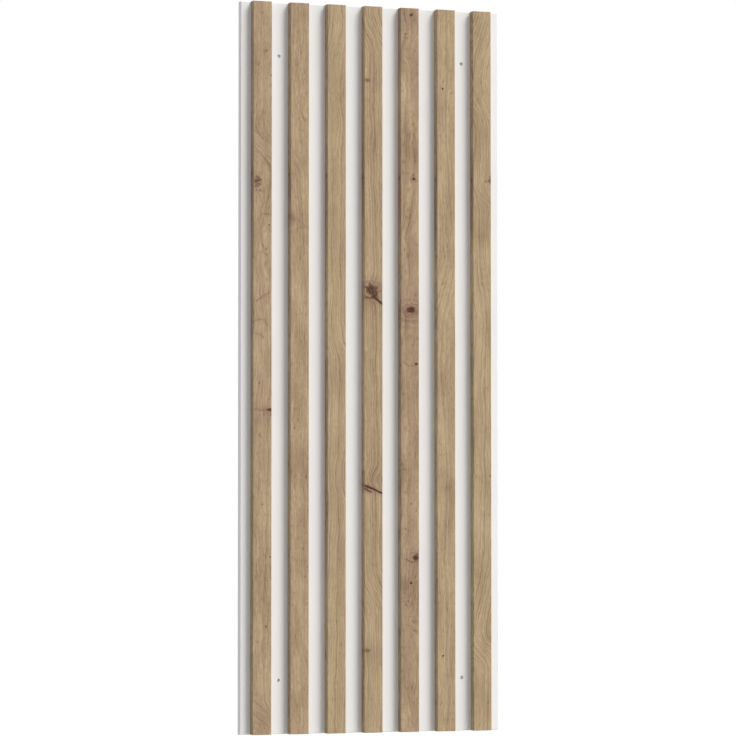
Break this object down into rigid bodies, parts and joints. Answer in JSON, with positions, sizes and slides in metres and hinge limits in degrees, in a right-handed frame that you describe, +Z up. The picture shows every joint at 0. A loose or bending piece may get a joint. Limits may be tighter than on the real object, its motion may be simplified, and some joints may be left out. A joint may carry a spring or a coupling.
{
  "type": "slatted wall panel",
  "caption": "Tall flat white board with a row of upright oak-look slats on its face, screwed to a wall as a decorative slatted panel.",
  "frame": {"origin": "middle of the board's back face, which lies against the wall", "axes": "+Z up along the slats, +X across the slats, +Y out of the back into the wall, so the slats face -Y"},
  "size_m": [0.394, 0.024, 1.05],
  "materials": {
    "white_board": "white satin facing on a flat wood-based board",
    "oak": "light knotty oak, matt, with the grain along the slat",
    "zinc_steel": "bright zinc plating"
  },
  "bodies": {
    "root": {"backing_board": "white_board", "slat_1": "oak", "slat_2": "oak", "slat_3": "oak", "slat_4": "oak", "slat_5": "oak", "slat_6": "oak", "slat_7": "oak", "slat_screws": "zinc_steel"}
  },
  "joints": []
}
